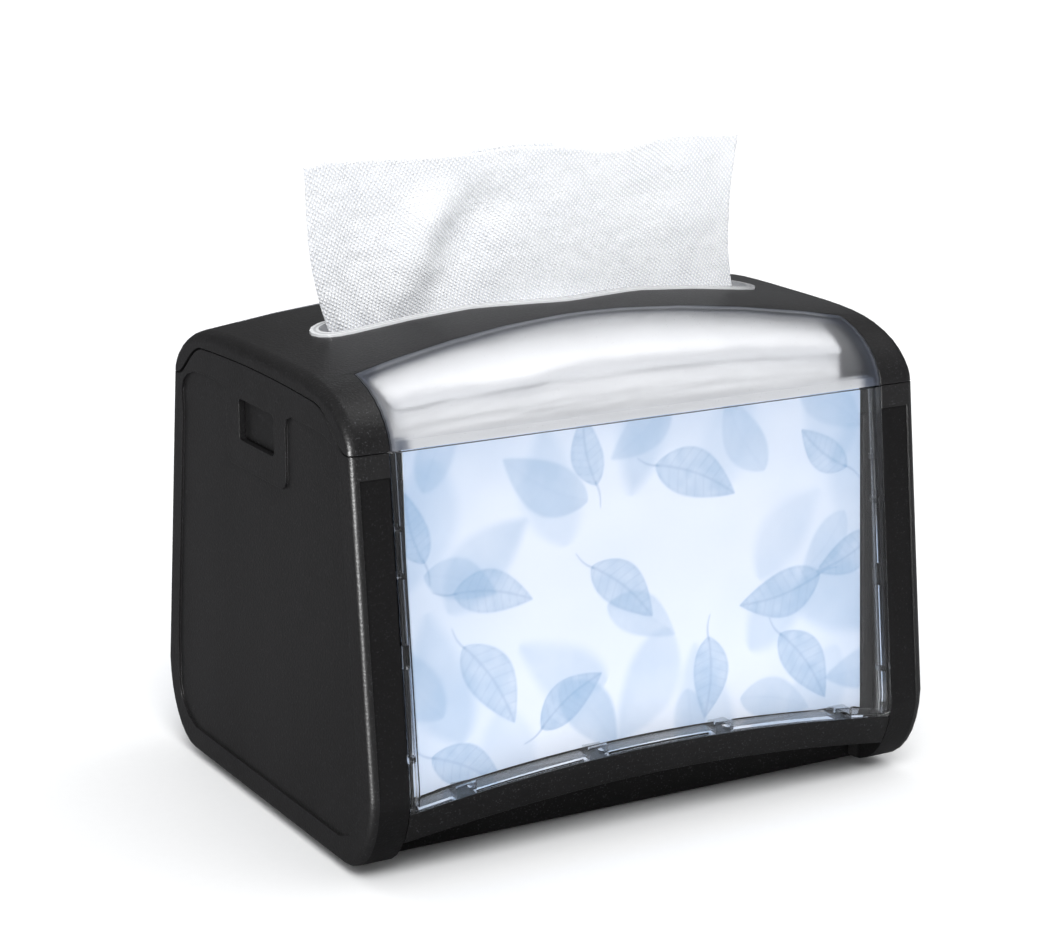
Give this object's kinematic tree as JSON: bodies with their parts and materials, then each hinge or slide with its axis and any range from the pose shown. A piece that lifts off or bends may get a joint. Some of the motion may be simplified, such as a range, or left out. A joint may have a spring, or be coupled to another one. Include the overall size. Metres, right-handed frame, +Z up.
{
  "type": "napkin dispenser",
  "caption": "Tabletop napkin dispenser with a hinged arched lid, a top slot, smoky windows, clear-fronted card panels, a side latch button and a sprung pusher plate.",
  "frame": {"origin": "centre of the whole object's box in plan, on the plane of the table under the rubber feet", "axes": "+Z up, -Y towards the front card panel, +X towards the hinge end; the latch end is -X"},
  "size_m": [0.2048, 0.1534, 0.2051],
  "materials": {
    "black_plastic": "satin near-black moulded plastic with a fine grain",
    "black_plastic_inner": "matte near-black moulded plastic",
    "button_plastic": "satin near-black moulded plastic",
    "smoky_clear_plastic": "translucent smoky plastic",
    "clear_plastic": "glossy clear plastic",
    "printed_card": "pale blue printed card with leaf shapes",
    "napkin_paper": "soft white embossed tissue",
    "spring_steel": "plain steel wire and rod",
    "zinc_screw": "zinc-plated",
    "foot_rubber": "matte black rubber"
  },
  "bodies": {
    "base": {"base_tray": "black_plastic_inner", "side_panel_left": "black_plastic", "side_panel_right": "black_plastic", "front_frame": "black_plastic_inner", "rear_frame": "black_plastic_inner", "hinge_pin": "spring_steel", "latch_spring": "spring_steel", "pusher_spring_left": "spring_steel", "pusher_spring_right": "spring_steel", "rubber_foot_front_left": "foot_rubber", "rubber_foot_front_right": "foot_rubber", "rubber_foot_rear_left": "foot_rubber", "rubber_foot_rear_right": "foot_rubber", "base_screw_front_left": "zinc_screw", "base_screw_front_right": "zinc_screw", "base_screw_rear_left": "zinc_screw", "base_screw_rear_right": "zinc_screw"},
    "lid": {"lid_cover": "black_plastic", "lid_inner_shell": "smoky_clear_plastic"},
    "latch": {"latch_button": "button_plastic"},
    "pusher": {"pusher_plate": "black_plastic_inner", "napkin_stack": "napkin_paper"},
    "napkin": {"dispensed_napkin": "napkin_paper"},
    "front_panel": {"clear_panel_front": "clear_plastic", "insert_card_front": "printed_card"},
    "rear_panel": {"clear_panel_rear": "clear_plastic", "insert_card_rear": "printed_card"}
  },
  "joints": [
    {"name": "lid_hinge", "type": "hinge", "parent": "base", "child": "lid", "pos_m": [0.1, 0, 0.14395], "axis": [0, 1, 0], "range_deg": [0, 100]},
    {"name": "latch_press", "type": "slide", "parent": "base", "child": "latch", "axis": [1, 0, 0], "range_m": [0, 0.003], "stiffness_N_per_m": 800, "springref_m": -0.001, "deforming": ["latch_spring"]},
    {"name": "pusher_lift", "type": "slide", "parent": "base", "child": "pusher", "axis": [0, 0, 1], "range_m": [-0.04, 0.045], "deforming": ["pusher_spring_left", "pusher_spring_right", "napkin_stack"]},
    {"name": "napkin_pull", "type": "slide", "parent": "lid", "child": "napkin", "axis": [0, 0, 1], "range_m": [0, 0.06]},
    {"name": "front_panel_release", "type": "slide", "parent": "base", "child": "front_panel", "axis": [0, -1, 0], "range_m": [0, 0.06]},
    {"name": "rear_panel_release", "type": "slide", "parent": "base", "child": "rear_panel", "axis": [0, 1, 0], "range_m": [0, 0.06]}
  ]
}
